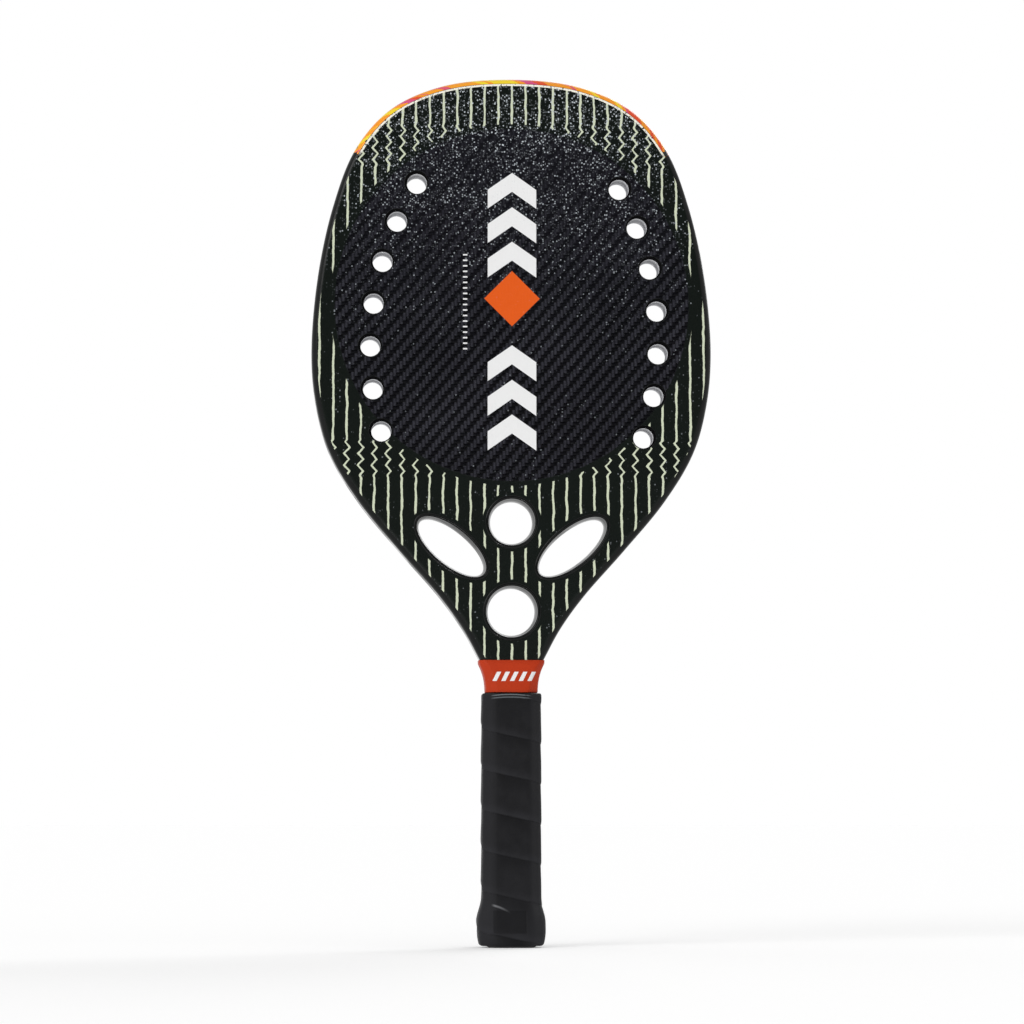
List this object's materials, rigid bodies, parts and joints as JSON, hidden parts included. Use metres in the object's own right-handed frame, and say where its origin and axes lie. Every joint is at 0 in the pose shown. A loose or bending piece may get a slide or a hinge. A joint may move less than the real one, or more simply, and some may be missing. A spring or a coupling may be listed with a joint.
{
  "type": "beach tennis racket",
  "caption": "Beach tennis racket with a drilled carbon face, open throat, orange rubber collar and wrapped black grip.",
  "frame": {"origin": "centre of the flat end of the butt", "axes": "+Z from the butt to the tip of the head, -Y out of the front face, +X to the right of someone who looks at the front face"},
  "size_m": [0.2302, 0.0368, 0.5],
  "materials": {
    "painted_carbon": "gloss black lacquer",
    "printed_carbon": "lacquered carbon weave, printed",
    "edge_paint": "gloss, orange, yellow and pink",
    "eva_foam": "matt foam, pale grey",
    "rigid_foam": "matt foam",
    "black_plastic": "moulded",
    "staple_steel": "wire",
    "cushion_grip": "matt",
    "black_tape": "satin tape",
    "wrapped_tape": "matt, fine grain",
    "orange_rubber": "satin"
  },
  "bodies": {
    "root": {"frame_tube": "painted_carbon", "frame_foam": "rigid_foam", "head_edge_guard": "edge_paint", "front_skin": "printed_carbon", "rear_skin": "printed_carbon", "eva_core": "eva_foam", "throat_bridge": "painted_carbon", "handle_spacer": "rigid_foam", "pallet_front": "rigid_foam", "pallet_rear": "rigid_foam", "butt_cap": "black_plastic", "butt_door": "black_plastic", "cap_staple_front_1": "staple_steel", "cap_staple_rear_1": "staple_steel", "cap_staple_front_2": "staple_steel", "cap_staple_rear_2": "staple_steel", "base_grip": "cushion_grip", "finishing_tape": "black_tape", "overgrip": "wrapped_tape", "rubber_collar": "orange_rubber"}
  },
  "joints": []
}
